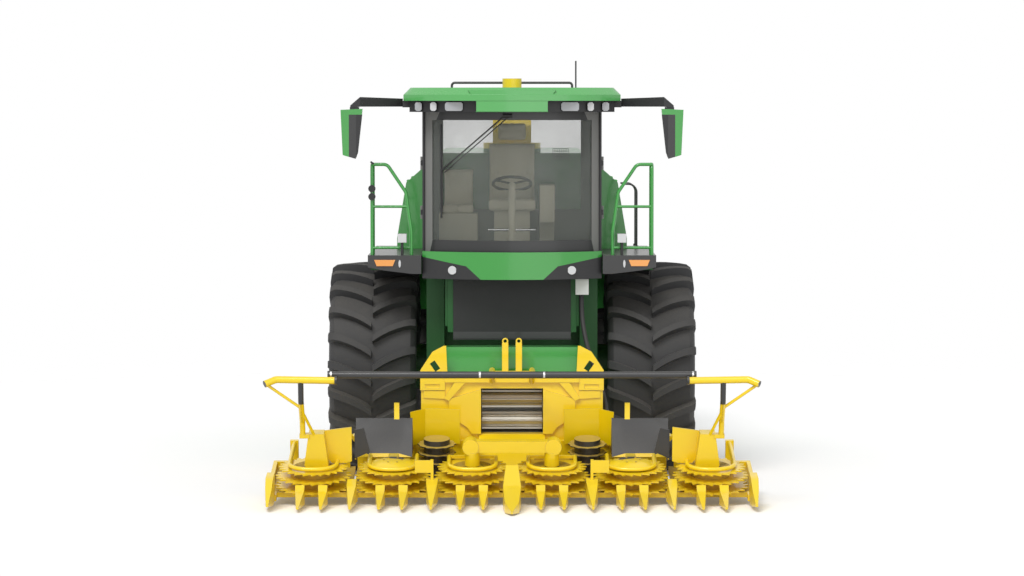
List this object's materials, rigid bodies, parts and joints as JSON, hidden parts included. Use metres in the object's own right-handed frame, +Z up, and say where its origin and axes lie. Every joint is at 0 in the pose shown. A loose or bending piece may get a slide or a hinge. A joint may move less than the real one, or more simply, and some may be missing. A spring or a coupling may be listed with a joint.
{
  "type": "self-propelled forage harvester",
  "caption": "Self-propelled forage harvester with a wide glazed cab, a feeder housing, a folding rotary row-crop header and a swivelling discharge spout.",
  "frame": {"origin": "on the ground under the middle of the machine's overall box", "axes": "-Y forwards, +X towards the machine's left, +Z up"},
  "size_m": [4.636, 8.6014, 4.2],
  "materials": {
    "green_paint": "gloss",
    "yellow_paint": "gloss",
    "black_paint": "satin",
    "worn_steel": "worn satin",
    "tyre": "dusty matte",
    "black_plastic": "matte",
    "rubber": "matte",
    "tinted_glass": "clear, light tint",
    "seat_cloth": "woven",
    "lamp": "clear lens",
    "engine_iron": "matte",
    "grey_box": "satin"
  },
  "bodies": {
    "machine": {"main_frame": "green_paint", "front_axle": "green_paint", "rear_axle": "black_paint", "engine": "engine_iron", "chopper_housing": "green_paint", "rear_body": "green_paint", "cab_shell": "black_paint", "cab_roof": "green_paint", "cab_glass": "tinted_glass", "seats": "seat_cloth", "cab_controls": "black_plastic", "lamps": "lamp", "roof_fittings": "black_paint", "mirrors": "black_plastic", "platforms": "black_paint", "front_panel": "green_paint", "curtain": "rubber", "railings": "green_paint", "ladder": "black_paint", "coupler_box": "grey_box", "header_hose": "rubber"},
    "feeder": {"feeder_housing": "green_paint", "header_frame": "yellow_paint", "header_deck": "yellow_paint", "crop_bar": "black_paint"},
    "tie_rod": {"tie_rod": "black_paint"},
    "lift_barrels": {"lift_barrels": "black_paint"},
    "lift_rods": {"lift_rods": "worn_steel"},
    "rear_door": {"rear_door": "green_paint"},
    "spout_turret": {"spout_turret": "yellow_paint"},
    "spout_boom": {"spout_boom": "yellow_paint"},
    "spout_flap": {"spout_flap": "yellow_paint"},
    "feed_roll_upper": {"feed_roll_upper": "worn_steel"},
    "feed_roll_lower": {"feed_roll_lower": "worn_steel"},
    "front_wheel_l": {"front_tyre_l": "tyre", "front_rim_l": "yellow_paint"},
    "rear_wheel_l": {"rear_tyre_l": "tyre", "rear_rim_l": "yellow_paint"},
    "knuckle_l": {"knuckle_l": "black_paint"},
    "cab_door_l": {"cab_door_l": "black_paint", "door_glass_l": "tinted_glass"},
    "side_door_l": {"side_door_l": "green_paint"},
    "cross_drum_l": {"cross_drum_l": "yellow_paint"},
    "wing_l": {"wing_l": "yellow_paint"},
    "rotor_l1": {"rotor_l1": "yellow_paint"},
    "rotor_l2": {"rotor_l2": "yellow_paint"},
    "rotor_l3": {"rotor_l3": "yellow_paint"},
    "front_wheel_r": {"front_tyre_r": "tyre", "front_rim_r": "yellow_paint"},
    "rear_wheel_r": {"rear_tyre_r": "tyre", "rear_rim_r": "yellow_paint"},
    "knuckle_r": {"knuckle_r": "black_paint"},
    "cab_door_r": {"cab_door_r": "black_paint", "door_glass_r": "tinted_glass"},
    "side_door_r": {"side_door_r": "green_paint"},
    "cross_drum_r": {"cross_drum_r": "yellow_paint"},
    "wing_r": {"wing_r": "yellow_paint"},
    "rotor_r1": {"rotor_r1": "yellow_paint"},
    "rotor_r2": {"rotor_r2": "yellow_paint"},
    "rotor_r3": {"rotor_r3": "yellow_paint"}
  },
  "joints": [
    {"name": "front_wheel_l_spin", "type": "hinge", "parent": "machine", "child": "front_wheel_l", "pos_m": [1.4, -0.3, 1.075], "axis": [1, 0, 0], "continuous": true},
    {"name": "front_wheel_r_spin", "type": "hinge", "parent": "machine", "child": "front_wheel_r", "pos_m": [-1.4, -0.3, 1.075], "axis": [1, 0, 0], "continuous": true},
    {"name": "steer_l", "type": "hinge", "parent": "machine", "child": "knuckle_l", "pos_m": [0.8, 2.9, 0.745], "axis": [0, 0, 1], "range_deg": [-35, 35]},
    {"name": "rear_wheel_l_spin", "type": "hinge", "parent": "knuckle_l", "child": "rear_wheel_l", "pos_m": [1.18, 2.9, 0.745], "axis": [1, 0, 0], "continuous": true},
    {"name": "steer_r", "type": "hinge", "parent": "machine", "child": "knuckle_r", "pos_m": [-0.8, 2.9, 0.745], "axis": [0, 0, 1], "range_deg": [-35, 35]},
    {"name": "rear_wheel_r_spin", "type": "hinge", "parent": "knuckle_r", "child": "rear_wheel_r", "pos_m": [-1.18, 2.9, 0.745], "axis": [1, 0, 0], "continuous": true},
    {"name": "tie_rod_swing", "type": "hinge", "parent": "knuckle_l", "child": "tie_rod", "pos_m": [0.8, 2.64, 0.676], "axis": [0, 0, 1], "range_deg": [-35, 35]},
    {"name": "header_lift", "type": "hinge", "parent": "machine", "child": "feeder", "pos_m": [0, -0.95, 1.15], "axis": [-1, 0, 0], "range_deg": [0, 20], "deforming": ["header_hose"]},
    {"name": "lift_barrels_swing", "type": "hinge", "parent": "machine", "child": "lift_barrels", "pos_m": [0, -0.54, 0.74], "axis": [-1, 0, 0], "range_deg": [0, 15]},
    {"name": "lift_rods_slide", "type": "slide", "parent": "lift_barrels", "child": "lift_rods", "axis": [0, -0.9899, -0.1414], "range_m": [0, 0.16]},
    {"name": "feed_roll_upper_spin", "type": "hinge", "parent": "feeder", "child": "feed_roll_upper", "pos_m": [0, -2.15, 0.902], "axis": [1, 0, 0], "continuous": true},
    {"name": "feed_roll_lower_spin", "type": "hinge", "parent": "feeder", "child": "feed_roll_lower", "pos_m": [0, -2.15, 0.692], "axis": [1, 0, 0], "continuous": true},
    {"name": "rotor_l1_spin", "type": "hinge", "parent": "feeder", "child": "rotor_l1", "pos_m": [0.375, -3.25, 0.262], "axis": [0, -0.1736, 0.9848], "continuous": true},
    {"name": "rotor_r1_spin", "type": "hinge", "parent": "feeder", "child": "rotor_r1", "pos_m": [-0.375, -3.25, 0.262], "axis": [0, -0.1736, 0.9848], "continuous": true},
    {"name": "rotor_l2_spin", "type": "hinge", "parent": "feeder", "child": "rotor_l2", "pos_m": [1.125, -3.25, 0.262], "axis": [0, -0.1736, 0.9848], "continuous": true},
    {"name": "rotor_r2_spin", "type": "hinge", "parent": "feeder", "child": "rotor_r2", "pos_m": [-1.125, -3.25, 0.262], "axis": [0, -0.1736, 0.9848], "continuous": true},
    {"name": "rotor_l3_spin", "type": "hinge", "parent": "wing_l", "child": "rotor_l3", "pos_m": [1.875, -3.25, 0.262], "axis": [0, -0.1736, 0.9848], "continuous": true},
    {"name": "rotor_r3_spin", "type": "hinge", "parent": "wing_r", "child": "rotor_r3", "pos_m": [-1.875, -3.25, 0.262], "axis": [0, -0.1736, 0.9848], "continuous": true},
    {"name": "cross_drum_l_spin", "type": "hinge", "parent": "feeder", "child": "cross_drum_l", "pos_m": [0.72, -2.78714, 0.34361], "axis": [0, -0.1736, 0.9848], "continuous": true},
    {"name": "cross_drum_r_spin", "type": "hinge", "parent": "feeder", "child": "cross_drum_r", "pos_m": [-0.72, -2.78714, 0.34361], "axis": [0, -0.1736, 0.9848], "continuous": true},
    {"name": "wing_l_fold", "type": "hinge", "parent": "feeder", "child": "wing_l", "pos_m": [1.5, -2.59363, 0.57067], "axis": [0, -0.9848, -0.1736], "range_deg": [0, 90]},
    {"name": "wing_r_fold", "type": "hinge", "parent": "feeder", "child": "wing_r", "pos_m": [-1.5, -2.59363, 0.57067], "axis": [0, 0.9848, 0.1736], "range_deg": [0, 90]},
    {"name": "spout_turn", "type": "hinge", "parent": "machine", "child": "spout_turret", "pos_m": [0, 0.6, 3.3], "axis": [0, 0, 1], "range_deg": [-105, 105]},
    {"name": "spout_lift", "type": "hinge", "parent": "spout_turret", "child": "spout_boom", "pos_m": [0, 0.83, 3.5], "axis": [1, 0, 0], "range_deg": [0, 38]},
    {"name": "spout_flap_tilt", "type": "hinge", "parent": "spout_boom", "child": "spout_flap", "pos_m": [0, 3.9, 3.69], "axis": [1, 0, 0], "range_deg": [-55, 0]},
    {"name": "cab_door_l_swing", "type": "hinge", "parent": "machine", "child": "cab_door_l", "pos_m": [0.9, -1.26, 2.935], "axis": [0, 0, -1], "range_deg": [0, 70]},
    {"name": "cab_door_r_swing", "type": "hinge", "parent": "machine", "child": "cab_door_r", "pos_m": [-0.9, -1.26, 2.935], "axis": [0, 0, 1], "range_deg": [0, 70]},
    {"name": "side_door_l_lift", "type": "hinge", "parent": "machine", "child": "side_door_l", "pos_m": [1.12583, 2.6, 2.934], "axis": [0, -1, 0], "range_deg": [0, 75]},
    {"name": "side_door_r_lift", "type": "hinge", "parent": "machine", "child": "side_door_r", "pos_m": [-1.12583, 2.6, 2.934], "axis": [0, 1, 0], "range_deg": [0, 75]},
    {"name": "rear_door_swing", "type": "hinge", "parent": "machine", "child": "rear_door", "pos_m": [0.784, 4.096, 2.175], "axis": [0, 0, -1], "range_deg": [0, 100]}
  ],
  "couplings": [
    {"joint": "steer_r", "follows": "steer_l", "ratio": 1},
    {"joint": "tie_rod_swing", "follows": "steer_l", "ratio": -1},
    {"joint": "lift_barrels_swing", "follows": "header_lift", "ratio": 0.70258},
    {"joint": "lift_rods_slide", "follows": "header_lift", "m_per_rad": 0.41627},
    {"joint": "feed_roll_lower_spin", "follows": "feed_roll_upper_spin", "ratio": -1},
    {"joint": "rotor_r1_spin", "follows": "rotor_l1_spin", "ratio": -1},
    {"joint": "rotor_l2_spin", "follows": "rotor_l1_spin", "ratio": 1},
    {"joint": "rotor_r2_spin", "follows": "rotor_l1_spin", "ratio": -1},
    {"joint": "rotor_l3_spin", "follows": "rotor_l1_spin", "ratio": 1},
    {"joint": "rotor_r3_spin", "follows": "rotor_l1_spin", "ratio": -1},
    {"joint": "cross_drum_l_spin", "follows": "rotor_l1_spin", "ratio": -2},
    {"joint": "cross_drum_r_spin", "follows": "rotor_l1_spin", "ratio": 2}
  ]
}
